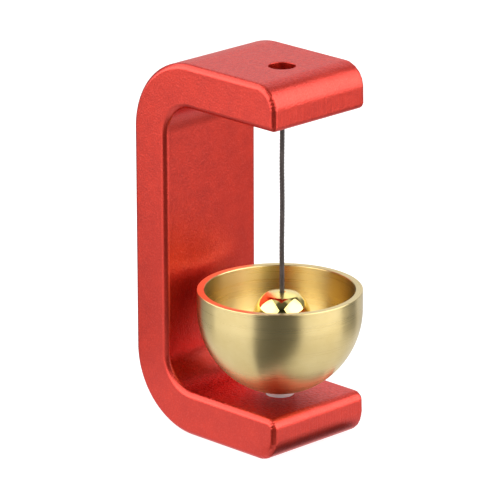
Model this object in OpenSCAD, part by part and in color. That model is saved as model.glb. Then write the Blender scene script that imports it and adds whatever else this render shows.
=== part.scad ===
// Door chime: a bent flat-bar bracket carries a brass bowl on its lower arm, and a ball
// on a cord hangs from its upper arm and swings against the inside of the bowl.
// Millimetres, +Z up, arms towards -Y, back face towards +Y.
// Origin: the middle of the bottom of the whole object's box.

/* [Bracket] */
// Overall height of the bracket
bracket_h = 93.5; // [88:0.5:105]
// Width of the bar from side to side
bar_w = 31; // [26:0.5:36]
// Thickness of the bar
bar_t = 11; // [9.5:0.1:12]
// Reach of the arms from the back face to their tips
arm_reach = 48; // [46:0.5:56]
// Outside radius of the two bends
bend_r = 19; // [16:0.5:22]
// Edge break along the side faces
edge_c = 0.95; // [0.3:0.05:1]
// Outer roundover of both arm tips
tip_r = 6; // [3:0.5:6]
// Inner roundover of the upper arm tip
upper_lip_r = 1.4; // [1.1:0.1:3]
// Inner roundover of the lower arm tip
lower_lip_r = 2.5; // [1.1:0.1:4]

/* [Bowl] */
// Distance from the back face to the bowl's axis
axis_reach = 34.5; // [33.5:0.5:38]
// Outside radius of the bowl at its rim
bowl_r = 20; // [18:0.5:21]
// Wall thickness of the bowl
bowl_wall = 1.8; // [1.2:0.1:2.2]
// Height of the rim above the bottom of the bracket
rim_z = 37.7; // [36:0.1:42]
// Thickness of the translucent spacer under the bowl
spacer_t = 1.2; // [0.8:0.1:2]
// Diameter of the spacer
spacer_d = 7; // [6:0.5:9]

/* [Striker] */
// Distance from the back face to the cord, a little nearer the tips than the bowl's axis
cord_reach = 35.2; // [34:0.1:36]
// Diameter of the striker ball
ball_d = 14; // [10:0.5:15]
// Height of the ball's centre above the bottom of the bracket
ball_z = 30.8; // [30:0.1:33]
// Diameter of the shallow crown that is faced on top of the ball
crown_d = 8; // [6:0.5:9]
// Diameter of the cord
cord_d = 1.2; // [0.8:0.1:1.3]

/* [Holes and magnets] */
// Counterbore in the upper arm, over the cord's knot
cord_well_d = 6.5; // [6:0.5:9]
// Depth of that counterbore
cord_well_depth = 7.5; // [6:0.5:8]
// Small hole that the cord runs through
cord_hole_d = 2; // [1.8:0.1:2.6]
// Counterbore in the underside of the lower arm, over the screw's head
screw_well_d = 7; // [6.5:0.5:9]
// Depth of that counterbore
screw_well_depth = 5.8; // [5:0.1:6]
// Diameter of the two disc magnets
magnet_d = 12; // [8:1:15]
// Thickness of the magnets
magnet_t = 3; // [2:0.5:4]
// Distance between the magnets' centres
magnet_pitch = 36; // [24:1:40]

/* [Hidden] */

$fn = 96;
eps = 0.01;

// Bracket
half_w = bar_w / 2;
bend_inner_r = bend_r - bar_t;
back_y = (axis_reach + bowl_r) / 2;
axis_y = back_y - axis_reach;
cord_y = back_y - cord_reach;
tip_y = back_y - arm_reach;
upper_z = bracket_h - bar_t;
arm_l = arm_reach - bend_r - tip_r;
hole_break = 0.15;
cord_mouth_r = 1.6;
cord_mouth_depth = 0.6;
cord_well_z = bracket_h - cord_well_depth;

// Bowl stack, from the arm's upper face to the tip of the screw
m3_d = 3;
m3_hole_d = 3.4;
bowl_z = bar_t + spacer_t;
bowl_land_r = spacer_d / 2;
bowl_base_r = bowl_r - 1;
bowl_oval_h = bowl_r + 1;
bowl_apex_z = bowl_z - (bowl_base_r - sqrt(pow(bowl_base_r, 2) - pow(bowl_land_r, 2)));
bowl_base_cz = bowl_apex_z + bowl_base_r;
bowl_side_cz = bowl_apex_z + bowl_oval_h;
// Radius of the side arc that meets the base arc and the rim smoothly
bowl_side_r = (pow(bowl_base_r, 2) - pow(bowl_r, 2) - pow(bowl_oval_h - bowl_base_r, 2))
    / (2 * (bowl_base_r - bowl_r));
bowl_floor_r = 4.5;
bowl_floor_z = bowl_base_cz - sqrt(pow(bowl_base_r - bowl_wall, 2) - pow(bowl_floor_r, 2));
rim_break = 0.2;
gasket_t = 0.5;
gasket_d = 8;
washer_t = 0.5;
washer_d = 7;
nut_af = 5.5;
nut_t = 2.4;
nut_z = bowl_floor_z + gasket_t + washer_t;
screw_head_d = 5.5;
screw_head_t = 3;
screw_l = 12;
screw_socket_af = 2.5;
screw_socket_depth = 1.5;
thread_gap = 0.02;

// Striker
pivot_z = upper_z + 1;
crown_r = ball_d;
// How far the crown's centre lies below the ball's
crown_drop = sqrt(pow(crown_r, 2) - pow(crown_d / 2, 2))
    - sqrt(pow(ball_d / 2, 2) - pow(crown_d / 2, 2));
ball_bore_d = cord_d + 0.3;
knot_r = 1.3;
knot_h = 2.4;
knot_edge = 0.4;
knot_well_r = 1.6;
knot_well_depth = 1.5;
knot_well_z = ball_z - ball_d / 2 + knot_well_depth;
stop_d = 5.4;
stop_t = 0.8;
stop_gap = 0.05;
stop_z = cord_well_z + stop_gap;
pivot_gap = 0.05;
// Free length of the cord, from its pivot in the upper arm to its knot under the ball
cord_route = [
    [0, cord_y, pivot_z], [0.05, cord_y, 82], [0.1, cord_y, 79], [0.1, cord_y, 76],
    [0.05, cord_y, 73], [0, cord_y, 70], [0, cord_y, 67], [0.05, cord_y, 64],
    [0.1, cord_y, 61], [0.1, cord_y, 58], [0.05, cord_y, 55], [0, cord_y, 52],
    [-0.05, cord_y, 49], [-0.05, cord_y, 46], [0, cord_y, 43], [0, cord_y, 40],
    [0, cord_y, 37], [0, cord_y, 34], [0, cord_y, 31], [0, cord_y, knot_well_z],
];
cord_sides = 8;

// Magnets
magnet_clear = 0.1;
magnet_sink = 0.1;

// Cross-section of the bar, [across the width, through the thickness]
function bar_outline() = [
    [-half_w + edge_c, 0], [half_w - edge_c, 0],
    [half_w, edge_c], [half_w, bar_t - edge_c],
    [half_w - edge_c, bar_t], [-half_w + edge_c, bar_t],
    [-half_w, bar_t - edge_c], [-half_w, edge_c],
];

// Quarter bend of the bar about local Z, from local X round to local Y
module bar_bend() {
    rotate_extrude(angle = 90)
        polygon([for (p = bar_outline()) [bend_inner_r + p[1], p[0]]]);
}

// Quarter round of radius r about local Z, with the side edges broken
module tip_quarter(r) {
    rotate_extrude(angle = 90)
        polygon([
            [0, -half_w], [r - edge_c, -half_w], [r, -half_w + edge_c],
            [r, half_w - edge_c], [r - edge_c, half_w], [0, half_w],
        ]);
}

// End of an arm. The arm points along local X and ends at X = 0, its outer face is at
// Y = 0 and its inner face at Y = -bar_t
module arm_tip(lip_r) {
    translate([-tip_r, -tip_r, 0])
        tip_quarter(tip_r);
    translate([-lip_r, lip_r - bar_t, 0])
        rotate([0, 0, -90])
            tip_quarter(lip_r);
    // Front of the tip, between the two roundovers
    translate([0, -tip_r, 0])
        rotate([90, 0, 0])
            linear_extrude(bar_t - tip_r - lip_r)
                polygon([
                    [-tip_r, -half_w], [-edge_c, -half_w], [0, -half_w + edge_c],
                    [0, half_w - edge_c], [-edge_c, half_w], [-tip_r, half_w],
                ]);
    // Inner face of the tip, behind the inner roundover
    translate([-tip_r, 0, 0])
        rotate([90, 0, 90])
            linear_extrude(tip_r - lip_r)
                polygon([
                    [lip_r - bar_t, -half_w], [lip_r - bar_t, half_w],
                    [edge_c - bar_t, half_w], [-bar_t, half_w - edge_c],
                    [-bar_t, -half_w + edge_c], [edge_c - bar_t, -half_w],
                ]);
}

// The half of the bracket above its mid-height, with the given inner tip roundover
module bracket_half(lip_r) {
    translate([0, back_y - bar_t, bracket_h / 2])
        linear_extrude(bracket_h / 2 - bend_r)
            polygon(bar_outline());
    translate([0, back_y - bend_r, bracket_h - bend_r])
        rotate([90, 0, 90])
            bar_bend();
    translate([0, back_y - bend_r, upper_z])
        rotate([90, 0, 0])
            linear_extrude(arm_l)
                polygon(bar_outline());
    translate([0, tip_y, bracket_h])
        rotate([90, 0, -90])
            arm_tip(lip_r);
}

// Round well, open at z = 0 with a broken edge, reaching up to z = depth
module well(d, depth) {
    translate([0, 0, -eps])
        cylinder(d = d, h = depth + eps);
    translate([0, 0, -eps])
        cylinder(r1 = d / 2 + hole_break + eps, r2 = d / 2, h = hole_break + eps);
}

// Bent bar that holds everything
module bracket() {
    color("firebrick")
        difference() {
            union() {
                bracket_half(upper_lip_r);
                translate([0, 0, bracket_h])
                    mirror([0, 0, 1])
                        bracket_half(lower_lip_r);
            }
            // Knot well and cord hole in the upper arm
            translate([0, cord_y, bracket_h])
                mirror([0, 0, 1])
                    well(cord_well_d, cord_well_depth);
            translate([0, cord_y, upper_z - eps])
                cylinder(d = cord_hole_d, h = bar_t);
            translate([0, cord_y, upper_z - eps])
                cylinder(r1 = cord_mouth_r, r2 = cord_hole_d / 2, h = cord_mouth_depth);
            // Screw well and screw hole in the lower arm
            translate([0, axis_y, 0])
                well(screw_well_d, screw_well_depth);
            translate([0, axis_y, eps])
                cylinder(d = m3_hole_d, h = bar_t);
            // Magnet pockets in the back face
            for (side = [-1, 1])
                translate([0, back_y, bracket_h / 2 + side * magnet_pitch / 2])
                    rotate([90, 0, 0])
                        translate([0, 0, -eps])
                            cylinder(
                                d = magnet_d + 2 * magnet_clear,
                                h = magnet_t + magnet_sink + eps
                            );
        }
}

// Disc magnet in the back face, side = 1 for the upper one and -1 for the lower one
module magnet(side) {
    color("silver")
        translate([0, back_y - magnet_sink, bracket_h / 2 + side * magnet_pitch / 2])
            rotate([90, 0, 0])
                cylinder(d = magnet_d, h = magnet_t);
}

// Half profile of the bowl's outside (inset = 0) or inside (inset = bowl_wall): a base arc
// that runs smoothly into a wider side arc, and a straight wall up to the rim
module bowl_profile(inset) {
    centre_x = bowl_r - bowl_side_r;
    drop = bowl_side_cz - bowl_base_cz;
    // Far enough along the line through both centres to leave the bowl
    reach = 2 * bowl_r / norm([centre_x, drop]);
    intersection() {
        square([2 * bowl_r, rim_z + inset]);
        union() {
            translate([0, bowl_base_cz])
                circle(bowl_base_r - inset);
            intersection() {
                translate([centre_x, bowl_side_cz])
                    circle(bowl_side_r - inset);
                polygon([
                    [0, bowl_base_cz],
                    [-centre_x * reach, bowl_base_cz - drop * reach],
                    [2 * bowl_r, bowl_side_cz],
                    [0, bowl_side_cz],
                ]);
            }
            translate([0, bowl_side_cz])
                square([bowl_r - inset, rim_z - bowl_side_cz + inset]);
        }
    }
}

// Turned brass bowl, open at the top
module bowl() {
    color("goldenrod")
        translate([0, axis_y, 0])
            difference() {
                rotate_extrude()
                    bowl_profile(0);
                rotate_extrude()
                    difference() {
                        bowl_profile(bowl_wall);
                        square([bowl_r, bowl_floor_z]);
                    }
                // Flat land that rests on the spacer
                translate([0, 0, bowl_z - bowl_r])
                    cylinder(r = bowl_r, h = bowl_r);
                translate([0, 0, bowl_z - eps])
                    cylinder(d = m3_hole_d, h = bowl_floor_z);
                // Broken inner edge of the rim
                translate([0, 0, rim_z - rim_break])
                    cylinder(
                        r1 = bowl_r - bowl_wall,
                        r2 = bowl_r - bowl_wall + rim_break + eps,
                        h = rim_break + eps
                    );
            }
}

// Flat ring about the upright line at y that starts at height z
module ring(outer_d, inner_d, t, y, z) {
    translate([0, y, z])
        difference() {
            cylinder(d = outer_d, h = t);
            translate([0, 0, -eps])
                cylinder(d = inner_d, h = t + 2 * eps);
        }
}

// Translucent spacer between the arm and the bowl
module bowl_spacer() {
    color("mistyrose")
        ring(spacer_d, m3_hole_d, spacer_t, axis_y, bar_t);
}

// Soft gasket on the bowl's floor
module bowl_gasket() {
    color("gainsboro")
        ring(gasket_d, m3_hole_d, gasket_t, axis_y, bowl_floor_z);
}

// Flat washer on the gasket
module bowl_washer() {
    color("silver")
        ring(washer_d, m3_hole_d, washer_t, axis_y, bowl_floor_z + gasket_t);
}

// Hexagon nut inside the bowl
module bowl_nut() {
    color("silver")
        translate([0, axis_y, nut_z])
            difference() {
                cylinder(d = nut_af / cos(30), h = nut_t, $fn = 6);
                translate([0, 0, -eps])
                    cylinder(d = m3_d + thread_gap, h = nut_t + 2 * eps);
            }
}

// Socket screw, up through the lower arm, the bowl and the nut
module bowl_screw() {
    color("silver")
        translate([0, axis_y, screw_well_depth])
            difference() {
                union() {
                    translate([0, 0, -screw_head_t])
                        cylinder(d = screw_head_d, h = screw_head_t);
                    cylinder(d = m3_d, h = screw_l);
                }
                translate([0, 0, -screw_head_t - eps])
                    cylinder(
                        d = screw_socket_af / cos(30),
                        h = screw_socket_depth + eps,
                        $fn = 6
                    );
            }
}

// Small washer that stops the knot at the bottom of its well
module cord_stop() {
    color("goldenrod")
        ring(stop_d, cord_d + 0.2, stop_t, cord_y, stop_z);
}

// Knot in the cord, standing on height z
module knot(z) {
    translate([0, cord_y, z])
        rotate_extrude()
            polygon([
                [0, 0], [knot_r - knot_edge, 0], [knot_r, knot_edge],
                [knot_r, knot_h - knot_edge], [knot_r - knot_edge, knot_h], [0, knot_h],
            ]);
}

// Upper end of the cord: its knot and the short length inside the upper arm
module cord_anchor_knot() {
    color("#2b2322")
        difference() {
            union() {
                knot(stop_z + stop_t);
                translate([0, cord_y, pivot_z])
                    cylinder(d = cord_d, h = stop_z + stop_t + eps - pivot_z);
            }
            // Seat round the end of the swinging length
            translate([0, cord_y, pivot_z])
                sphere(r = cord_d / 2 + pivot_gap);
        }
}

// Ring of points round a route point, square to the vertical
function cord_ring(p) = [
    for (i = [0 : cord_sides - 1])
        p + cord_d / 2 * [cos(360 * i / cord_sides), sin(360 * i / cord_sides), 0]
];

// Free length of the cord, one tube along its route
module cord() {
    rings = len(cord_route);
    color("#2b2322")
        polyhedron(
            points = [for (p = cord_route) each cord_ring(p)],
            faces = [
                [for (i = [0 : cord_sides - 1]) i],
                for (r = [0 : rings - 2])
                    for (i = [0 : cord_sides - 1])
                        [
                            r * cord_sides + i,
                            (r + 1) * cord_sides + i,
                            (r + 1) * cord_sides + (i + 1) % cord_sides,
                            r * cord_sides + (i + 1) % cord_sides,
                        ],
                [for (i = [cord_sides - 1 : -1 : 0]) (rings - 1) * cord_sides + i],
            ]
        );
}

// Polished ball with a flatter crown on top, drilled for the cord, with a well for the knot
module striker_ball() {
    color("gold")
        translate([0, cord_y, ball_z])
            difference() {
                intersection() {
                    sphere(d = ball_d);
                    translate([0, 0, -crown_drop])
                        sphere(r = crown_r);
                }
                translate([0, 0, -ball_d])
                    cylinder(d = ball_bore_d, h = 2 * ball_d);
                translate([0, 0, -ball_d])
                    cylinder(r = knot_well_r, h = ball_d / 2 + knot_well_depth);
            }
}

// Knot under the ball
module cord_end_knot() {
    color("#2b2322")
        knot(knot_well_z - knot_h);
}

bracket();
magnet(1);  // magnet_upper
magnet(-1);  // magnet_lower
bowl();
bowl_spacer();
bowl_gasket();
bowl_washer();
bowl_nut();
bowl_screw();
cord_stop();
cord_anchor_knot();
cord();
striker_ball();
cord_end_knot();
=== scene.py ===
"""Looks of the door chime: an anodised bar bracket, a turned brass bowl and a ball on a cord."""

import math

import bmesh
import bpy
from mathutils import Matrix, Vector, noise


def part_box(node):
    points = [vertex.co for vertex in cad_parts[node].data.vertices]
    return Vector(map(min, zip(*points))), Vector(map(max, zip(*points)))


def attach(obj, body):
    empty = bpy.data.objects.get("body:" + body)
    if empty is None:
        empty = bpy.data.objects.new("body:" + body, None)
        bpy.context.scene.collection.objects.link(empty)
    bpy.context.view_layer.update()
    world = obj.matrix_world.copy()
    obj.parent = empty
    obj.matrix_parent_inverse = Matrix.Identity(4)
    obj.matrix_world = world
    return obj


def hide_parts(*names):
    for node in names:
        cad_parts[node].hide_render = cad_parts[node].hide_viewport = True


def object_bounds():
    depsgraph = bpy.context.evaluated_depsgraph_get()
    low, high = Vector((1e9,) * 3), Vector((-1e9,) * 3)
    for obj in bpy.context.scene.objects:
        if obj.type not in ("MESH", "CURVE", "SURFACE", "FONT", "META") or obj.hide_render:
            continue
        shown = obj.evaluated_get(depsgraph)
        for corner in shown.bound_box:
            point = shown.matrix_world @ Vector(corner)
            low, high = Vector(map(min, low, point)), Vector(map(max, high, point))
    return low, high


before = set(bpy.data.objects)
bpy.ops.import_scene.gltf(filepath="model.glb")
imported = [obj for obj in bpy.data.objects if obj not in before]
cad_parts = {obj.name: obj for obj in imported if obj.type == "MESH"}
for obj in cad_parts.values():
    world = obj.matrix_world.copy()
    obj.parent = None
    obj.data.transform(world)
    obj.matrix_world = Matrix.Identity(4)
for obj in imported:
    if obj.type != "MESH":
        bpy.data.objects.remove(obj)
cad_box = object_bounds()

MM = 0.001

# ---------------------------------------------------------------- places and sizes, metres

bracket_lo, bracket_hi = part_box("bracket")
bowl_lo, bowl_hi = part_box("bowl")
ball_lo, ball_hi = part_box("striker_ball")
_, stop_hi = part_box("cord_stop")
anchor_lo, anchor_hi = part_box("cord_anchor_knot")
end_knot_lo, end_knot_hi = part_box("cord_end_knot")

AXIS = Vector((0.0, (bowl_lo.y + bowl_hi.y) / 2, 0.0))
CORD_AXIS = Vector((0.0, (ball_lo.y + ball_hi.y) / 2, 0.0))
CORD_R = 0.6 * MM

BAR_T = 11 * MM
BEND_R = 19 * MM
TIP_R = 6 * MM
UPPER_LIP_R = 1.4 * MM
LOWER_LIP_R = 2.5 * MM
EDGE_C = 0.95 * MM
SCREW_HOLE_R = 1.7 * MM
CURVE_STEPS = 40

# Angles, radians
HEX_SECTOR = math.radians(60)
HEX_HALF = math.radians(30)
QUARTER_TURN = math.radians(90)

# The ball's centre and the edge of its flatter crown, from the knot's well in its underside
BALL_R = (ball_hi.x - ball_lo.x) / 2
BALL_WELL_R = 1.6 * MM
CROWN_EDGE_R = 4 * MM
BALL_Z = ball_lo.z + math.sqrt(BALL_R ** 2 - BALL_WELL_R ** 2)
CROWN_Z = BALL_Z + math.sqrt(BALL_R ** 2 - CROWN_EDGE_R ** 2)


# ---------------------------------------------------------------- camera

CAMERA_AZIMUTH = -44.65
CAMERA_ELEVATION = 18.0
CAMERA_ROLL = -0.155
CAMERA_DISTANCE = 1.1224
CAMERA_LENS = 329.2
CAMERA_TARGET = Vector((12.14, 15.25, 39.51)) * MM


def direction(azimuth, elevation):
    """Unit vector from the object towards that azimuth and elevation, in degrees."""
    a, e = math.radians(azimuth), math.radians(elevation)
    return Vector((math.sin(a) * math.cos(e), -math.cos(a) * math.cos(e), math.sin(e)))


def make_camera():
    data = bpy.data.cameras.new("camera")
    data.lens = CAMERA_LENS
    data.sensor_width = 36
    data.clip_start, data.clip_end = 0.01, 50
    cam = bpy.data.objects.new("camera", data)
    back = direction(CAMERA_AZIMUTH, CAMERA_ELEVATION)
    roll = Matrix.Rotation(math.radians(CAMERA_ROLL), 4, "Z")
    turn = (-back).to_track_quat("-Z", "Y").to_matrix().to_4x4()
    cam.matrix_world = Matrix.Translation(CAMERA_TARGET + back * CAMERA_DISTANCE) @ turn @ roll
    bpy.context.scene.collection.objects.link(cam)
    bpy.context.scene.camera = cam


# ---------------------------------------------------------------- shapes


def link(name, mesh, place=(0, 0, 0)):
    """A new object with that mesh, smooth shaded, at that place."""
    for polygon in mesh.polygons:
        polygon.use_smooth = True
    piece = bpy.data.objects.new(name, mesh)
    piece.location = place
    bpy.context.scene.collection.objects.link(piece)
    return piece


def weigh_normals(piece):
    """Flat faces stay flat and only the narrow rounded edges shade round."""
    modifier = piece.modifiers.new("weighted", "WEIGHTED_NORMAL")
    modifier.mode = "FACE_AREA"
    modifier.weight = 100
    modifier.keep_sharp = False


def rounded(points, radii, steps):
    """A polygon or polyline with its corners rounded, as (point, normal) pairs.

    A corner with radius 0 stays one point. The normal points to the right of the way that
    the points run, which is outwards where they run anticlockwise.
    """
    out = []
    count = len(points)
    for i, corner in enumerate(points):
        corner = Vector(corner)
        before = (corner - Vector(points[i - 1])).normalized()
        after = (Vector(points[(i + 1) % count]) - corner).normalized()
        if radii[i] <= 0:
            along = (before + after).normalized()
            out.append((corner, Vector((along.y, -along.x))))
            continue
        turn = before.angle_signed(after)
        # angle_signed is clockwise positive, so an anticlockwise turn is negative
        left = 1 if turn < 0 else -1
        reach = radii[i] * math.tan(abs(turn) / 2)
        start = corner - before * reach
        centre = start + left * radii[i] * Vector((-before.y, before.x))
        for k in range(steps + 1):
            angle = left * abs(turn) * k / steps
            ray = Matrix.Rotation(angle, 2) @ (start - centre)
            out.append((centre + ray, ray.normalized() * left))
    return out


def arc(centre, radius, start, end, steps):
    """Points on an arc from angle start to angle end, in degrees."""
    angles = [math.radians(start + (end - start) * k / steps) for k in range(steps + 1)]
    return [(centre[0] + radius * math.cos(a), centre[1] + radius * math.sin(a)) for a in angles]


def stitch(bm, rings, closed):
    """Faces from each ring of vertices to the next, and back to the first or with end caps."""
    pairs = list(zip(rings, rings[1:]))
    if closed:
        pairs.append((rings[-1], rings[0]))
    for a, b in pairs:
        for s in range(max(len(a), len(b))):
            corners = [a[s % len(a)], a[(s + 1) % len(a)], b[(s + 1) % len(b)], b[s % len(b)]]
            corners = list(dict.fromkeys(corners))
            if len(corners) > 2:
                bm.faces.new(corners)
    if not closed:
        bm.faces.new(rings[0])
        bm.faces.new(rings[-1])
    bmesh.ops.recalc_face_normals(bm, faces=bm.faces)


def mesh_from(name, bm):
    """A mesh with what bm holds, and bm freed."""
    mesh = bpy.data.meshes.new(name)
    bm.to_mesh(mesh)
    bm.free()
    return mesh


def lathe_mesh(name, profile, segments=96, wobble=None):
    """Revolves a closed profile of (radius, z) about Z. Points on the axis become one vertex.

    wobble(angle, index) scales the radius, for a knurl or a hexagon socket.
    """
    bm = bmesh.new()
    rings = []
    for index, (radius, z) in enumerate(profile):
        if radius < 1e-9:
            rings.append([bm.verts.new((0, 0, z))])
            continue
        ring = []
        for s in range(segments):
            angle = 2 * math.pi * s / segments
            r = radius * (wobble(angle, index) if wobble else 1)
            ring.append(bm.verts.new((r * math.cos(angle), r * math.sin(angle), z)))
        rings.append(ring)
    stitch(bm, rings, closed=True)
    return mesh_from(name, bm)


def rounded_profile(points, radii, steps=4):
    return [tuple(point) for point, _ in rounded(points, radii, steps)]


def ring_profile(outer, inner, low, high, edge):
    """Closed profile of a flat ring, its four edges rounded."""
    corners = [(inner, low), (outer, low), (outer, high), (inner, high)]
    return rounded_profile(corners, [edge] * 4)


def frames_along(points):
    """A side vector and a second one square to it for each point of a line."""
    tangents = []
    for i in range(len(points)):
        ahead = points[min(i + 1, len(points) - 1)]
        tangents.append((ahead - points[max(i - 1, 0)]).normalized())
    side = tangents[0].orthogonal().normalized()
    out = []
    for tangent in tangents:
        side = (side - tangent * side.dot(tangent)).normalized()
        out.append((side, tangent.cross(side)))
    return out


def tube_mesh(name, points, radius, sides=24, strands=3, lay=2.6 * MM, closed=False):
    """A twisted cord along points: strands lobes that turn once in each length lay."""
    groove = 0.12
    unevenness = 0.035
    bm = bmesh.new()
    rings = []
    run = 0.0
    for i, (point, (side, up)) in enumerate(zip(points, frames_along(points))):
        run += (point - points[i - 1]).length if i else 0.0
        twist = 2 * math.pi * run / lay
        ring = []
        for s in range(sides):
            angle = 2 * math.pi * s / sides
            lobe = abs(math.cos(strands * (angle - twist) / 2))
            spot = Vector((run / MM * 0.9, math.cos(angle), math.sin(angle)))
            waxy = 1 + unevenness * noise.noise(spot)
            r = radius * (1 - groove + groove * lobe ** 0.6) * waxy
            ring.append(bm.verts.new(point + side * r * math.cos(angle) + up * r * math.sin(angle)))
        rings.append(ring)
    stitch(bm, rings, closed)
    return mesh_from(name, bm)


def resample(points, step):
    """Points a step apart along a smooth curve through the given points."""
    out = []
    for i in range(len(points) - 1):
        p0 = points[max(i - 1, 0)]
        p1, p2 = points[i], points[i + 1]
        p3 = points[min(i + 2, len(points) - 1)]
        parts = max(1, round((p2 - p1).length / step))
        for k in range(parts):
            t = k / parts
            out.append(
                0.5 * (2 * p1 + (p2 - p0) * t + (2 * p0 - 5 * p1 + 4 * p2 - p3) * t ** 2
                       + (3 * p1 - p0 - 3 * p2 + p3) * t ** 3)
            )
    out.append(points[-1])
    return out


# ---------------------------------------------------------------- shader helper


class Shader:
    """A material's node tree, with short ways to add and link nodes."""

    def __init__(self, name):
        self.material = bpy.data.materials.new(name)
        self.material.use_nodes = True
        self.tree = self.material.node_tree
        self.bsdf = self.tree.nodes["Principled BSDF"]

    def add(self, kind, inputs=None, **settings):
        node = self.tree.nodes.new(kind)
        for key, value in settings.items():
            setattr(node, key, value)
        for key, value in (inputs or {}).items():
            self.feed(node.inputs[key], value)
        return node

    def feed(self, socket, value):
        """Links an output to the socket, or sets the socket's own value."""
        if isinstance(value, bpy.types.NodeSocket):
            self.tree.links.new(value, socket)
        else:
            socket.default_value = value

    def set(self, **inputs):
        """Principled inputs by name, with underscores for spaces."""
        for key, value in inputs.items():
            self.feed(self.bsdf.inputs[key.replace("_", " ")], value)

    def math(self, operation, a, b=0.0):
        return self.add("ShaderNodeMath", {0: a, 1: b}, operation=operation).outputs[0]

    def place(self, scale=(1, 1, 1)):
        """Object coordinates, scaled."""
        where = self.add("ShaderNodeTexCoord").outputs["Object"]
        return self.add("ShaderNodeMapping", {"Vector": where, "Scale": scale}).outputs[0]

    def noise(self, vector, scale, detail=2.0, roughness=0.5):
        inputs = {"Vector": vector, "Scale": scale, "Detail": detail, "Roughness": roughness}
        return self.add("ShaderNodeTexNoise", inputs).outputs["Fac"]

    def span(self, value, low, high, start=0.0, end=1.0):
        """Maps value from low..high to start..end, held at both ends."""
        inputs = {"Value": value, "From Min": low, "From Max": high, "To Min": start, "To Max": end}
        return self.add("ShaderNodeMapRange", inputs).outputs["Result"]

    def blend(self, factor, a, b, mode="MIX"):
        node = self.add("ShaderNodeMix", data_type="RGBA", blend_type=mode)
        self.feed(node.inputs[0], factor)
        self.feed(node.inputs[6], a)
        self.feed(node.inputs[7], b)
        return node.outputs[2]

    def bump(self, height, strength, distance, normal=None):
        inputs = {"Height": height, "Strength": strength, "Distance": distance}
        if normal is not None:
            inputs["Normal"] = normal
        return self.add("ShaderNodeBump", inputs).outputs["Normal"]


# ---------------------------------------------------------------- materials


def anodised_red():
    """Bead-blasted aluminium under a red anodised skin, with fine drawn lines at the tips."""
    sh = Shader("anodised_red")
    where = sh.place()
    grain = sh.noise(where, 2300, 3.0, 0.6)
    mottle = sh.noise(where, 240, 3.0, 0.55)
    facing = sh.add("ShaderNodeNewGeometry").outputs["Normal"]
    _, facing_y, facing_z = sh.add("ShaderNodeSeparateXYZ", {0: facing}).outputs
    upward = sh.span(facing_z, 0.8, 0.98)
    forward = sh.add("ShaderNodeSeparateXYZ", {0: where}).outputs[1]
    at_tip = sh.span(forward, bracket_lo.y + 8 * MM, bracket_lo.y + 6 * MM, 0.0, 1.0)
    on_tip = sh.math("MULTIPLY", sh.span(facing_y, -0.25, -0.75, 0.0, 1.0), at_tip)
    lines = sh.noise(sh.place((5200, 60, 90)), 1.0, 2.0, 0.5)
    lines_on_tip = sh.math("MULTIPLY", sh.math("SUBTRACT", lines, 0.5), on_tip)
    deep, bright = (0.60, 0.017, 0.002, 1), (0.65, 0.023, 0.004, 1)
    pale_grain, dark_grain = (0.80, 0.10, 0.07, 1), (0.38, 0.010, 0.004, 1)
    base = sh.blend(sh.span(mottle, 0.3, 0.7), deep, bright)
    # Faces that look up have a coarser grain as well
    coarse = sh.noise(where, 1300, 2.0, 0.6)
    coarse_pale = sh.math("MULTIPLY", upward, sh.span(coarse, 0.5, 0.75, 0.0, 0.5))
    coarse_dark = sh.math("MULTIPLY", upward, sh.span(coarse, 0.5, 0.28, 0.0, 0.6))
    pale = sh.math("ADD", sh.span(grain, 0.52, 0.72, 0.0, 0.22), coarse_pale)
    dark = sh.math("ADD", sh.span(grain, 0.48, 0.28, 0.0, 0.2), coarse_dark)
    base = sh.blend(pale, base, pale_grain)
    base = sh.blend(dark, base, dark_grain)
    rough = sh.span(mottle, 0.3, 0.7, 0.34, 0.40)
    rough = sh.math("ADD", rough, sh.math("MULTIPLY", lines_on_tip, 0.3))
    height = sh.math("ADD", grain, sh.math("MULTIPLY", lines_on_tip, 1.2))
    height = sh.math("ADD", height, sh.math("MULTIPLY", upward, coarse))
    normal = sh.bump(height, sh.span(upward, 0, 1, 0.4, 1.0), 0.00016)
    sh.set(
        Base_Color=base,
        Metallic=1.0,
        Roughness=rough,
        Normal=normal,
        Coat_Normal=normal,
        Specular_Tint=(1.0, 0.35, 0.3, 1),
        Coat_Weight=0.62,
        Coat_Roughness=0.27,
        Coat_IOR=1.7,
    )
    return sh.material


def darker(colour, factors):
    """The colour with each channel multiplied by its own factor."""
    return tuple(c * k for c, k in zip(colour, factors))


def along_profile(sh, scale):
    """A vector that runs quickly along a turned profile and slowly round its axis."""
    where = sh.add("ShaderNodeTexCoord").outputs["Object"]
    x, y, z = sh.add("ShaderNodeSeparateXYZ", {0: where}).outputs
    slow = 25.0
    radius = sh.math("SQRT", sh.math("ADD", sh.math("MULTIPLY", x, x), sh.math("MULTIPLY", y, y)))
    run = sh.math("MULTIPLY", sh.math("ADD", radius, z), scale)
    around = {0: sh.math("MULTIPLY", x, slow), 1: sh.math("MULTIPLY", y, slow), 2: run}
    return sh.add("ShaderNodeCombineXYZ", around).outputs[0]


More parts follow.
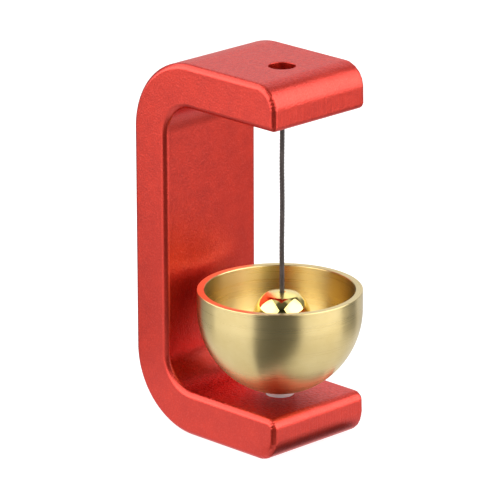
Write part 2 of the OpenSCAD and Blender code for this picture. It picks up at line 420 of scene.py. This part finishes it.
def turned_brass(name, base, rough, lines, anisotropy):
    """Brass turned on a lathe and satin brushed round its axis."""
    sh = Shader(name)
    fine = sh.noise(along_profile(sh, 9000.0), 1.0, 2.0, 0.6)
    broad = sh.noise(along_profile(sh, 900.0), 1.0, 2.0, 0.5)
    stain = sh.noise(sh.place(), 130, 4.0, 0.6)
    pits = sh.noise(sh.place(), 2600, 1.0, 0.5)
    stained = darker(base, (0.93, 0.90, 0.82, 1))
    pitted = (0.25, 0.19, 0.09, 1)
    colour = sh.blend(sh.span(stain, 0.35, 0.7), base, stained)
    colour = sh.blend(sh.span(pits, 0.80, 0.86, 0.0, 0.5), colour, pitted)
    streak = sh.math("ADD", sh.math("MULTIPLY", fine, 0.6), sh.math("MULTIPLY", broad, 0.4))
    sh.set(
        Base_Color=colour,
        Metallic=1.0,
        Roughness=sh.span(streak, 0.3, 0.7, rough - 0.04, rough + 0.05),
        Anisotropic=anisotropy,
        Anisotropic_Rotation=0.25,
        Tangent=sh.add("ShaderNodeTangent", direction_type="RADIAL", axis="Z").outputs[0],
        Normal=sh.bump(streak, lines, 0.00003),
    )
    return sh.material


def polished_brass():
    """Mirror-polished brass with the faintest swirl marks, and a satin crown turned on top."""
    sh = Shader("polished_brass")
    x, y, z = sh.add("ShaderNodeSeparateXYZ", {0: sh.place()}).outputs
    on_crown = sh.span(z, CROWN_Z - 0.05 * MM, CROWN_Z + 0.05 * MM)
    radius = sh.math("SQRT", sh.math("ADD", sh.math("MULTIPLY", x, x), sh.math("MULTIPLY", y, y)))
    rings = sh.add("ShaderNodeCombineXYZ", {0: sh.math("MULTIPLY", radius, 9000.0)}).outputs[0]
    grooves = sh.math("MULTIPLY", sh.noise(rings, 1.0, 2.0, 0.6), on_crown)
    swirl = sh.noise(sh.place((1, 1, 9)), 420, 3.0, 0.6)
    haze = sh.noise(sh.place(), 160, 3.0, 0.5)
    clear, hazed = (0.92, 0.76, 0.28, 1), (0.88, 0.71, 0.235, 1)
    colour = sh.blend(sh.span(haze, 0.35, 0.7), clear, hazed)
    rough = sh.span(haze, 0.35, 0.7, 0.03, 0.07)
    sh.set(
        Base_Color=colour,
        Metallic=1.0,
        Roughness=sh.math("ADD", rough, sh.math("MULTIPLY", on_crown, 0.18)),
        Normal=sh.bump(grooves, 0.15, 0.00002, sh.bump(swirl, 0.02, 0.00002)),
    )
    return sh.material


def plated_steel(name, base, rough):
    """Bright plated steel with fine rolled marks."""
    sh = Shader(name)
    marks = sh.noise(sh.place((1, 1, 0.2)), 1500, 3.0, 0.6)
    cloud = sh.noise(sh.place(), 350, 3.0, 0.5)
    clouded = darker(base, (0.88, 0.89, 0.92, 1))
    sh.set(
        Base_Color=sh.blend(sh.span(cloud, 0.35, 0.7), base, clouded),
        Metallic=1.0,
        Roughness=sh.span(marks, 0.3, 0.7, rough - 0.05, rough + 0.06),
        Normal=sh.bump(marks, 0.1, 0.00002),
    )
    return sh.material


def soft_plastic(name, base, shade, rough, see_through):
    """Milky moulded plastic or silicone that lets some light through."""
    sh = Shader(name)
    cloud = sh.noise(sh.place(), 500, 3.0, 0.5)
    grain = sh.noise(sh.place(), 4000, 2.0, 0.5)
    sh.set(
        Base_Color=sh.blend(sh.span(cloud, 0.35, 0.7), base, shade),
        Roughness=sh.span(grain, 0.3, 0.7, rough - 0.05, rough + 0.05),
        Normal=sh.bump(grain, 0.1, 0.00002),
        Transmission_Weight=see_through,
        Subsurface_Weight=0.3,
        Subsurface_Radius=(0.0012, 0.0009, 0.0008),
        Subsurface_Scale=1.0,
        IOR=1.5,
    )
    return sh.material


def waxed_cord():
    """Dark brown twisted cord with a waxy film and fine fibres."""
    sh = Shader("waxed_cord")
    fibres = sh.noise(sh.place((3.0, 3.0, 1.0)), 1800, 4.0, 0.65)
    wax = sh.noise(sh.place(), 420, 3.0, 0.5)
    dark, light, waxy = (0.016, 0.011, 0.010, 1), (0.070, 0.050, 0.045, 1), (0.11, 0.085, 0.078, 1)
    colour = sh.blend(sh.span(fibres, 0.3, 0.7), dark, light)
    sh.set(
        Base_Color=sh.blend(sh.span(wax, 0.5, 0.75, 0.0, 0.5), colour, waxy),
        Roughness=sh.span(wax, 0.3, 0.7, 0.38, 0.62),
        Specular_IOR_Level=0.45,
        Sheen_Weight=0.15,
        Sheen_Roughness=0.5,
        Normal=sh.bump(fibres, 0.5, 0.00006),
    )
    return sh.material


RED = anodised_red()
BRASS_SATIN = turned_brass("satin_brass", (0.70, 0.56, 0.272, 1), 0.29, 0.13, 0.85)
BRASS_WASHER = turned_brass("washer_brass", (0.78, 0.61, 0.30, 1), 0.28, 0.25, 0.3)
BRASS_POLISHED = polished_brass()
NICKEL = plated_steel("nickel", (0.72, 0.70, 0.66, 1), 0.22)
ZINC = plated_steel("zinc", (0.66, 0.67, 0.70, 1), 0.30)
NYLON = soft_plastic("nylon", (0.92, 0.88, 0.87, 1), (0.86, 0.80, 0.79, 1), 0.35, 0.35)
SILICONE = soft_plastic("silicone", (0.86, 0.85, 0.82, 1), (0.80, 0.79, 0.76, 1), 0.5, 0.15)
CORD = waxed_cord()


def finish_piece(piece, material, body, slot, *nodes):
    """Gives a piece its material and body, and hides the CAD nodes that it stands for. The slot is not
    used.
    """
    piece.data.materials.append(material)
    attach(piece, body)
    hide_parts(*nodes)
    return piece


# ---------------------------------------------------------------- cord and knots

CORD_STEP = 0.18 * MM
KNOT_STRAND_R = 0.45 * MM

# The same route as the CAD cord, as (x, z) in millimetres on the cord's axis
CORD_ROUTE = [
    (0, 83.5), (0.05, 82), (0.1, 79), (0.1, 76), (0.05, 73), (0, 70), (0, 67), (0.05, 64),
    (0.1, 61), (0.1, 58), (0.05, 55), (0, 52), (-0.05, 49), (-0.05, 46), (0, 43), (0, 40),
    (0, 37), (0, 34), (0, 31), (0, 25.3),
]


def knot_points(low, high, wide):
    """A small trefoil knot about the cord's axis, between two heights."""
    count = 120
    middle = (low + high) / 2
    out = []
    for k in range(count):
        t = 2 * math.pi * k / count
        x = (math.sin(t) + 2 * math.sin(2 * t)) / 3 * wide
        y = (math.cos(t) - 2 * math.cos(2 * t)) / 3 * wide
        out.append(CORD_AXIS + Vector((x, y, middle - (high - low) / 2 * math.sin(3 * t))))
    return out


def join(name, meshes):
    """One mesh from several."""
    bm = bmesh.new()
    for mesh in meshes:
        bm.from_mesh(mesh)
        bpy.data.meshes.remove(mesh)
    return mesh_from(name, bm)


def make_cord():
    """The swinging length of the cord, from its pivot down to its knot under the ball."""
    route = [CORD_AXIS + Vector((x, 0, z)) * MM for x, z in CORD_ROUTE]
    points = resample(route, CORD_STEP)
    line = link("cord_line", tube_mesh("cord_line", points, CORD_R))
    finish_piece(line, CORD, "striker", "waxed_cord", "cord")


def make_knots():
    """The knot in the upper arm with its plain stretch, and the knot under the ball."""
    strand = KNOT_STRAND_R
    low, high = stop_hi.z + strand, anchor_hi.z - strand
    top = tube_mesh("knot", knot_points(low, high, 1.05 * MM), strand, 16, closed=True)
    plain_step, plain_count = 0.15 * MM, 22
    plain = [CORD_AXIS + Vector((0, 0, anchor_lo.z + k * plain_step)) for k in range(plain_count)]
    tail = [Vector((0.5, 0.2, 0)), Vector((0.7, 0.5, 1.2)), Vector((0.5, 1.1, 2.3))]
    tail = resample([CORD_AXIS + Vector((0, 0, high)) + p * MM for p in tail], CORD_STEP)
    parts = [top, tube_mesh("plain", plain, CORD_R), tube_mesh("tail", tail, CORD_R * 0.85)]
    anchor = link("cord_anchor", join("cord_anchor", parts))
    finish_piece(anchor, CORD, "hanger", "waxed_cord", "cord_anchor_knot")
    low, high = end_knot_lo.z + strand, end_knot_hi.z - strand
    end = tube_mesh("knot", knot_points(low, high, 1.0 * MM), strand, 16, closed=True)
    end = link("cord_end", end)
    finish_piece(end, CORD, "striker", "waxed_cord", "cord_end_knot")


# ---------------------------------------------------------------- bracket


def bracket_outline():
    """Side view of the bar as (y, z) points with their normals, running anticlockwise."""
    back, tip = bracket_hi.y, bracket_lo.y
    low, high = bracket_lo.z, bracket_hi.z
    corners = [
        ((tip, low), TIP_R), ((back, low), BEND_R), ((back, high), BEND_R),
        ((tip, high), TIP_R), ((tip, high - BAR_T), UPPER_LIP_R),
        ((back - BAR_T, high - BAR_T), BEND_R - BAR_T), ((back - BAR_T, low + BAR_T), BEND_R - BAR_T),
        ((tip, low + BAR_T), LOWER_LIP_R),
    ]
    return rounded([c for c, _ in corners], [r for _, r in corners], CURVE_STEPS)


def nick(y, z, side):
    """Factor on the edge break there: uneven a little along the arms and more at the tips."""
    tip_reach = 9 * MM
    near_tip = max(0.0, 1 - (y - bracket_lo.y) / tip_reach)
    rough = noise.noise(Vector((y * 900, z * 900, side * 3.7)))
    fine = noise.noise(Vector((y * 2600, z * 2600, side * 9.1)))
    return 1 + (0.02 + 0.14 * near_tip) * rough + (0.01 + 0.12 * near_tip) * fine


def bar_mesh():
    """The bent bar with broken side edges, each break's own two corners softened."""
    outline = bracket_outline()
    half = bracket_hi.x
    # How far each corner of a break is softened, and the flat beside it that keeps its shape
    soft, run = 0.42 * MM, 0.45 * MM
    corners = [(EDGE_C + run, half), (EDGE_C, half), (0, half - EDGE_C), (0, half - EDGE_C - run)]
    steps = 3
    edge = [corners[0]]
    for i in (1, 2):
        a, b, c = (Vector(p) for p in corners[i - 1 : i + 2])
        before, after = (b - a).normalized(), (c - b).normalized()
        for k in range(steps + 1):
            t = k / steps
            edge.append(tuple(b - before * soft * (1 - t) ** 2 + after * soft * t ** 2))
    edge.append(corners[3])
    layers = edge + [(inset, -x) for inset, x in reversed(edge)]
    bm = bmesh.new()
    rings = []
    for inset, x in layers:
        ring = []
        for point, normal in outline:
            worn = nick(point.x, point.y, math.copysign(1, x))
            depth = inset * worn if inset < EDGE_C else inset
            at = point - normal * depth
            across = math.copysign(half - (half - abs(x)) * worn, x)
            ring.append(bm.verts.new((across, at.x, at.y)))
        rings.append(ring)
    stitch(bm, rings, closed=False)
    return mesh_from("bracket_bar", bm)


def cutter(name, profile, place, turn=None):
    """A lathe-made cutting tool at that place."""
    tool = link(name, lathe_mesh(name, profile), place)
    if turn is not None:
        tool.rotation_euler = turn
    return tool


def make_bracket():
    """The bar with the cord's well and hole, the screw's well and hole, and two pockets."""
    bar = link("bracket_bar", bar_mesh())
    low, high = bracket_lo.z, bracket_hi.z
    over = 0.5 * MM
    break_c = 0.15 * MM
    well_r, well_depth = 3.25 * MM, 7.5 * MM
    hole_r, mouth_r = 1.0 * MM, 1.6 * MM
    well_z = high - well_depth
    arm_z = high - BAR_T
    top_hole = [
        (0, high + over), (0, arm_z - over), (mouth_r + over, arm_z - over),
        (hole_r, arm_z + mouth_r - hole_r), (hole_r, well_z), (well_r, well_z),
        (well_r, high - break_c), (well_r + break_c + over, high + over),
    ]
    radii = [0, 0, 0, 0.3 * MM, 0.15 * MM, 0.3 * MM, 0.15 * MM, 0]
    tools = [cutter("top_hole", rounded_profile(top_hole, radii), CORD_AXIS)]
    well_r, well_depth = 3.5 * MM, 5.8 * MM
    well_z, arm_z = low + well_depth, low + BAR_T
    bottom_hole = [
        (0, low - over), (well_r + break_c + over, low - over), (well_r, low + break_c),
        (well_r, well_z), (SCREW_HOLE_R, well_z), (SCREW_HOLE_R, arm_z - 0.2 * MM),
        (SCREW_HOLE_R + over, arm_z + 0.3 * MM), (0, arm_z + over),
    ]
    radii = [0, 0, 0.15 * MM, 0.3 * MM, 0.15 * MM, 0.1 * MM, 0, 0]
    tools.append(cutter("bottom_hole", rounded_profile(bottom_hole, radii), AXIS))
    slack = 0.1 * MM
    for node in ("magnet_upper", "magnet_lower"):
        lo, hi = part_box(node)
        pocket_r, depth = (hi.x - lo.x) / 2 + slack, bracket_hi.y - lo.y
        pocket = [
            (0, -over), (pocket_r + break_c + over, -over), (pocket_r, break_c),
            (pocket_r, depth), (0, depth),
        ]
        place = (0, bracket_hi.y, (lo.z + hi.z) / 2)
        profile = rounded_profile(pocket, [0, 0, 0.15 * MM, 0.2 * MM, 0])
        tools.append(cutter(node + "_pocket", profile, place, (QUARTER_TURN, 0, 0)))
    for tool in tools:
        modifier = bar.modifiers.new("cut", "BOOLEAN")
        modifier.operation = "DIFFERENCE"
        modifier.solver = "EXACT"
        modifier.object = tool
    bpy.context.view_layer.update()
    cut = bpy.data.meshes.new_from_object(bar.evaluated_get(bpy.context.evaluated_depsgraph_get()))
    bar.modifiers.clear()
    bar.data = cut
    for tool in tools:
        bpy.data.objects.remove(tool)
    weigh_normals(bar)
    finish_piece(bar, RED, "frame", "red_anodised_aluminium", "bracket")


def make_magnets():
    edge_r = 0.3 * MM
    for node in ("magnet_upper", "magnet_lower"):
        lo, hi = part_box(node)
        r, t = (hi.x - lo.x) / 2, hi.y - lo.y
        corners = [(0, 0), (r, 0), (r, t), (0, t)]
        mesh = lathe_mesh(node, rounded_profile(corners, [0, edge_r, edge_r, 0]))
        disc = link(node + "_disc", mesh, (0, hi.y, (lo.z + hi.z) / 2))
        disc.rotation_euler = (QUARTER_TURN, 0, 0)
        weigh_normals(disc)
        finish_piece(disc, NICKEL, "frame", "nickel_plated_magnet", node)


# ---------------------------------------------------------------- bowl and its fixing


def bowl_side(rim_r, wall, land_z):
    """One side of the bowl's wall as (radius, z), from its bottom up to the rim's height.

    A round bottom runs smoothly into a side of a larger radius, which is upright at the rim.
    """
    base_r, oval_h = rim_r - 1 * MM, rim_r + 1 * MM
    land_r, floor_r = 3.5 * MM, 4.5 * MM
    apex_z = land_z - (base_r - math.sqrt(base_r ** 2 - land_r ** 2))
    base_z, side_z = apex_z + base_r, apex_z + oval_h
    side_r = (base_r ** 2 - rim_r ** 2 - (oval_h - base_r) ** 2) / (2 * (base_r - rim_r))
    join_angle = math.degrees(math.atan2(base_z - side_z, side_r - rim_r))
    low = land_r if wall == 0 else floor_r
    start = -math.degrees(math.acos(low / (base_r - wall)))
    base = arc((0, base_z), base_r - wall, start, join_angle, CURVE_STEPS)
    side = arc((rim_r - side_r, side_z), side_r - wall, join_angle, 0, CURVE_STEPS)
    return base + side[1:]


def make_bowl():
    rim_r = bowl_hi.x
    wall = 1.8 * MM
    land_z, rim_z = bowl_lo.z, bowl_hi.z
    outer = bowl_side(rim_r, 0, land_z)
    inner = bowl_side(rim_r, wall, land_z)
    below = rim_z - 2 * MM
    corners = [(rim_r, below), (rim_r, rim_z), (rim_r - wall, rim_z), (rim_r - wall, below)]
    rim = rounded_profile(corners, [0, 0.18 * MM, 0.3 * MM, 0], 5)
    floor_z = inner[0][1]
    profile = [(SCREW_HOLE_R, land_z)] + outer + rim + inner[::-1] + [(SCREW_HOLE_R, floor_z)]
    mesh = lathe_mesh("brass_bowl", profile, 256)
    bowl = link("brass_bowl", mesh, AXIS)
    weigh_normals(bowl)
    finish_piece(bowl, BRASS_SATIN, "frame", "satin_brass", "bowl")


def make_ring(node, name, inner, edge, material, slot, body="frame"):
    """A flat ring the size of its CAD node, with its own hole and rounded edges."""
    lo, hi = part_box(node)
    mesh = lathe_mesh(name, ring_profile((hi.x - lo.x) / 2, inner, lo.z, hi.z, edge))
    piece = link(name, mesh, (0, (lo.y + hi.y) / 2, 0))
    weigh_normals(piece)
    finish_piece(piece, material, body, slot, node)


def hex_mesh(name, flats, low, high, bore, edge):
    """A hexagon nut with its corners turned round at both ends."""
    segments = 144
    bm = bmesh.new()
    rings = []

    def hex_radius(angle):
        from_flat = (angle % HEX_SECTOR) - HEX_HALF
        return flats / 2 / math.cos(from_flat)

    def ring(radius_of, z_of):
        made = []
        for s in range(segments):
            angle = 2 * math.pi * s / segments
            r = radius_of(angle)
            made.append(bm.verts.new((r * math.cos(angle), r * math.sin(angle), z_of(r))))
        rings.append(made)

    slope = math.tan(HEX_HALF)
    ring(lambda a: bore, lambda r: low + edge)
    ring(lambda a: bore + edge, lambda r: low)
    ring(lambda a: flats / 2 - edge, lambda r: low)
    ring(hex_radius, lambda r: low + (r - flats / 2 + edge) * slope)
    ring(hex_radius, lambda r: high - (r - flats / 2 + edge) * slope)
    ring(lambda a: flats / 2 - edge, lambda r: high)
    ring(lambda a: bore + edge, lambda r: high)
    ring(lambda a: bore, lambda r: high - edge)
    stitch(bm, rings, closed=True)
    return mesh_from(name, bm)


def make_nut():
    lo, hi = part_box("bowl_nut")
    bore_r, edge = 1.51 * MM, 0.15 * MM
    mesh = hex_mesh("bowl_hex_nut", hi.y - lo.y, lo.z, hi.z, bore_r, edge)
    nut = link("bowl_hex_nut", mesh, AXIS)
    weigh_normals(nut)
    finish_piece(nut, ZINC, "frame", "zinc_plated_steel", "bowl_nut")


def make_screw():
    """Socket screw with a knurled head, a hexagon socket and a threaded end."""
    lo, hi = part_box("bowl_screw")
    head_r, head_t, shank_r = (hi.x - lo.x) / 2, 3 * MM, 1.5 * MM
    plain_shank, pitch, thread_depth = 3 * MM, 0.5 * MM, 0.3 * MM
    socket_flat, socket_depth = 1.25 * MM, 1.5 * MM
    knurls, knurl_depth = 36, 0.01
    under = lo.z + head_t
    thread = []
    z = under + plain_shank
    while z < hi.z - pitch:
        thread += [(shank_r, z), (shank_r, z + 0.1 * pitch), (shank_r - thread_depth, z + 0.5 * pitch)]
        z += pitch
    socket_r, socket_z = socket_flat / math.cos(HEX_HALF), lo.z + socket_depth
    corners = [
        (0, socket_z), (socket_r, socket_z), (socket_r, lo.z), (head_r, lo.z),
        (head_r, under), (shank_r, under),
    ]
    head = rounded_profile(corners, [0, 0, 0.1 * MM, 0.35 * MM, 0.15 * MM, 0])
    profile = head + thread + [(shank_r - 0.35 * MM, hi.z), (0, hi.z)]
    # The head's first points are the socket and its rim, and they follow the hexagon
    rim_r = socket_r + 0.12 * MM
    socket_count = sum(1 for r, z in head if r <= rim_r and z < under - 1e-6)

    def wobble(angle, index):
        if index < socket_count:
            return math.cos(HEX_HALF) / math.cos(angle % HEX_SECTOR - HEX_HALF)
        r, z = profile[index]
        if r > head_r - 0.02 * MM and lo.z + 0.4 * MM < z < under - 0.1 * MM:
            return 1 - knurl_depth * (1 + math.cos(knurls * angle))
        return 1

    screw = link("bowl_cap_screw", lathe_mesh("bowl_cap_screw", profile, 144, wobble), AXIS)
    weigh_normals(screw)
    finish_piece(screw, ZINC, "frame", "zinc_plated_steel", "bowl_screw")


# ---------------------------------------------------------------- ball


def make_ball():
    """Polished ball with a flatter crown, drilled for the cord, with a well for the knot."""
    bore_r, well_z = 0.75 * MM, end_knot_hi.z
    # The crown is part of a sphere with twice the ball's radius
    crown_r = 2 * BALL_R
    crown_centre = CROWN_Z - math.sqrt(crown_r ** 2 - CROWN_EDGE_R ** 2)
    soft = 0.12 * MM
    low = -math.degrees(math.acos((BALL_WELL_R + soft) / BALL_R))
    # The ball's skin and the crown stop short of each other and a small curve joins them
    blend = math.radians(2.5)
    edge = math.acos(CROWN_EDGE_R / BALL_R)
    skin = arc((0, BALL_Z), BALL_R, low, math.degrees(edge - blend), 90)
    crown_edge = math.acos(CROWN_EDGE_R / crown_r)
    crown_start = crown_edge + blend * BALL_R / crown_r
    crown_end = math.acos((bore_r + soft) / crown_r)
    crown = arc((0, crown_centre), crown_r, math.degrees(crown_start), math.degrees(crown_end), 30)
    corner = (CROWN_EDGE_R, CROWN_Z)
    join_curve = []
    steps = 8
    for k in range(1, steps):
        t = k / steps
        weights = ((1 - t) ** 2, 2 * t * (1 - t), t ** 2)
        ends = (skin[-1], corner, crown[0])
        join_curve.append(tuple(sum(w * p[i] for w, p in zip(weights, ends)) for i in (0, 1)))
    bore_top = crown_centre + math.sqrt(crown_r ** 2 - bore_r ** 2)
    profile = [(BALL_WELL_R, well_z), (BALL_WELL_R, ball_lo.z + soft)] + skin + join_curve + crown
    profile += [(bore_r, bore_top - soft), (bore_r, well_z)]
    ball = link("polished_ball", lathe_mesh("polished_ball", profile, 160), CORD_AXIS)
    weigh_normals(ball)
    finish_piece(ball, BRASS_POLISHED, "striker", "polished_brass", "striker_ball")


# ---------------------------------------------------------------- floor, lights and world


# Painted glow that reflections find on the floor further out, as (degrees from the camera's side,
# level): painted shade in front, painted light at both sides, and dimmer behind with a brighter
# stretch at right
FLOOR_BANDS = [
    (-130, 0.33), (-99, 0.34), (-95, 0.9), (-50, 0.97), (-38, 0.92), (-31, 0.15), (21, 0.15),
    (30, 0.8), (42, 0.92), (60, 1.08), (70, 1.15), (86, 1.06), (91, 0.25), (118, 0.27),
    (127, 0.8), (150, 0.7), (205, 0.45), (220, 0.33),
]
# The painted glow of the floor close to the object, which only reflections see. Its left edge runs
# along the bracket's side, and from
# LEFT_EDGE_TURN behind the tip it moves away from it by LEFT_EDGE_SLOPE of the way further back
NEAR_GLOW_LEVEL = 0.95
LEFT_EDGE_TURN = 15 * MM
LEFT_EDGE_SLOPE = 1.9
CONTACT_SHADOW = 0.15


def make_floor():
    """White to the camera. Reflections see it glow in painted bands of light and shade round the
    object.
    """
    bm = bmesh.new()
    bmesh.ops.create_grid(bm, x_segments=1, y_segments=1, size=4)
    under_object = cad_box[0].z - 0.02 * MM
    floor = link("floor", mesh_from("floor", bm), (0, AXIS.y, under_object))
    sh = Shader("pale_floor")
    tone = sh.noise(sh.place(), 3.0, 2.0, 0.5)
    sh.set(
        Base_Color=sh.blend(sh.span(tone, 0.3, 0.7), (0.28, 0.28, 0.28, 1), (0.30, 0.30, 0.30, 1)),
        Roughness=0.9,
        Emission_Color=(1, 1, 1, 1),
        Emission_Strength=0.88,
    )
    where = sh.add("ShaderNodeTexCoord").outputs["Object"]
    x, y, _ = sh.add("ShaderNodeSeparateXYZ", {0: where}).outputs
    azimuth = sh.math("ARCTAN2", x, sh.math("MULTIPLY", y, -1.0))
    turn = math.radians(CAMERA_AZIMUTH)
    ramp = sh.add("ShaderNodeValToRGB", {"Fac": sh.span(azimuth, -math.pi, math.pi)})
    stops = ramp.color_ramp.elements
    stops.remove(stops[1])
    for k, (degrees, level) in enumerate(FLOOR_BANDS):
        place = (math.radians(degrees) + turn) / (2 * math.pi) + 0.5
        stop = stops.new(place) if k else stops[0]
        stop.position = place
        stop.color = (level, level, level, 1)
    # Painted glow close to the object, but on its left only behind a slanting edge
    front = sh.math("SUBTRACT", bracket_lo.y - AXIS.y, y)
    beside = sh.math("SUBTRACT", bracket_lo.x, x)
    behind = sh.math("MAXIMUM", sh.math("SUBTRACT", -LEFT_EDGE_TURN, front), 0.0)
    past_edge = sh.math("SUBTRACT", beside, sh.math("MULTIPLY", behind, LEFT_EDGE_SLOPE))
    radius = sh.math("SQRT", sh.math("ADD", sh.math("MULTIPLY", x, x), sh.math("MULTIPLY", y, y)))
    near = sh.math("MULTIPLY", sh.span(past_edge, 8 * MM, 3 * MM), sh.span(radius, 85 * MM, 65 * MM))
    bands = sh.blend(near, ramp.outputs["Color"], (NEAR_GLOW_LEVEL, NEAR_GLOW_LEVEL, NEAR_GLOW_LEVEL, 1))
    # The contact shadow just in front of the lower tip
    shade = sh.math("MULTIPLY", sh.span(front, -3 * MM, -1 * MM), sh.span(front, 7 * MM, 3 * MM))
    inside = sh.span(sh.math("ABSOLUTE", x), bracket_hi.x + 2 * MM, bracket_hi.x - 2 * MM)
    strength = sh.span(sh.math("MULTIPLY", shade, inside), 0, 1, 1.0, CONTACT_SHADOW)
    # The floor's painted glow and painted contact shadow, an emission that only reflections see
    glow = sh.add("ShaderNodeEmission", {"Color": bands, "Strength": strength})
    seen = sh.add("ShaderNodeLightPath").outputs["Is Camera Ray"]
    mix = sh.add("ShaderNodeMixShader", {0: seen, 1: glow.outputs[0], 2: sh.bsdf.outputs[0]})
    sh.feed(sh.tree.nodes["Material Output"].inputs["Surface"], mix.outputs[0])
    floor.data.materials.append(sh.material)


SOFTBOX_ELEVATION = 30
SOFTBOX_DISTANCE = 0.6
SOFTBOX_TALL = 0.74
SOFTBOX_AIM = Vector((0, AXIS.y, 32 * MM))


def softbox(name, turn, wide, radiance):
    """A rectangular soft light, turn degrees round from the camera, that cameras don't see."""
    data = bpy.data.lights.new(name, "AREA")
    data.shape = "RECTANGLE"
    data.size, data.size_y = wide, SOFTBOX_TALL
    data.energy = radiance * math.pi * wide * SOFTBOX_TALL
    lamp = bpy.data.objects.new(name, data)
    way = direction(CAMERA_AZIMUTH + turn, SOFTBOX_ELEVATION)
    lamp.location = SOFTBOX_AIM + way * SOFTBOX_DISTANCE
    lamp.rotation_euler = way.to_track_quat("Z", "Y").to_euler()
    lamp.visible_camera = False
    bpy.context.scene.collection.objects.link(lamp)


def make_lights():
    softbox("softbox_left", -77, 1.28, 2.1)
    softbox("softbox_right", 67, 0.98, 2.4)


# Round patches of the studio's walls and ceiling, as (degrees from the camera's side, elevation,
# outer and inner radius in degrees, level against the plain white round them)
WORLD_PATCHES = [
    (0, 15, 50, 25, 0.10),
    (125, 5, 28, 16, 0.25),
    (-142, 5, 28, 16, 0.35),
    (122, 46, 24, 9, 0.12),
    (-122, 46, 24, 9, 0.12),
    (0, 58, 30, 18, 0.15),
    (176, 42, 22, 9, 1.45),
    (0, 90, 45, 30, 0.7),
    (180, 10, 38, 20, 0.92),
]


def make_world():
    """White studio. Cameras see plain white, and reflections see its darker and brighter patches."""
    world = bpy.data.worlds.new("studio")
    world.use_nodes = True
    bpy.context.scene.world = world
    tree = world.node_tree
    tree.nodes.clear()

    def add(kind, **settings):
        node = tree.nodes.new(kind)
        for key, value in settings.items():
            setattr(node, key, value)
        return node

    def times(a, b):
        node = add("ShaderNodeMath", operation="MULTIPLY")
        tree.links.new(a, node.inputs[0])
        tree.links.new(b, node.inputs[1])
        return node.outputs[0]

    def patch(turn, elevation, outer, inner, level):
        """1 beyond outer degrees from that direction, and level within inner degrees of it."""
        dot = add("ShaderNodeVectorMath", operation="DOT_PRODUCT")
        tree.links.new(ray, dot.inputs[0])
        dot.inputs[1].default_value = direction(CAMERA_AZIMUTH + turn, elevation)
        node = add("ShaderNodeMapRange", interpolation_type="SMOOTHSTEP")
        tree.links.new(dot.outputs["Value"], node.inputs["Value"])
        node.inputs["From Min"].default_value = math.cos(math.radians(outer))
        node.inputs["From Max"].default_value = math.cos(math.radians(inner))
        node.inputs["To Min"].default_value = 1.0
        node.inputs["To Max"].default_value = level
        return node.outputs["Result"]

    ray = add("ShaderNodeTexCoord").outputs["Generated"]
    level = patch(*WORLD_PATCHES[0])
    for row in WORLD_PATCHES[1:]:
        level = times(level, patch(*row))
    seen = add("ShaderNodeBackground")
    seen.inputs["Color"].default_value = (1, 1, 1, 1)
    lit = add("ShaderNodeBackground")
    tree.links.new(level, lit.inputs["Strength"])
    lit.inputs["Color"].default_value = (1, 1, 1, 1)
    mix = add("ShaderNodeMixShader")
    tree.links.new(add("ShaderNodeLightPath").outputs["Is Camera Ray"], mix.inputs[0])
    tree.links.new(lit.outputs[0], mix.inputs[1])
    tree.links.new(seen.outputs[0], mix.inputs[2])
    out = add("ShaderNodeOutputWorld")
    tree.links.new(mix.outputs[0], out.inputs["Surface"])


# ---------------------------------------------------------------- the scene

make_camera()
make_cord()
make_knots()
make_bracket()
make_magnets()
make_bowl()
make_ring("bowl_spacer", "bowl_spacer_ring", SCREW_HOLE_R, 0.15 * MM, NYLON, "translucent_nylon")
make_ring("bowl_gasket", "bowl_gasket_ring", SCREW_HOLE_R, 0.1 * MM, SILICONE, "silicone")
make_ring("bowl_washer", "bowl_washer_ring", SCREW_HOLE_R, 0.08 * MM, ZINC, "zinc_plated_steel")
make_ring("cord_stop", "cord_stop_ring", 0.7 * MM, 0.12 * MM, BRASS_WASHER, "satin_brass", "hanger")
make_nut()
make_screw()
make_ball()
make_floor()
make_lights()
make_world()
bpy.context.scene.view_settings.view_transform = "Standard"
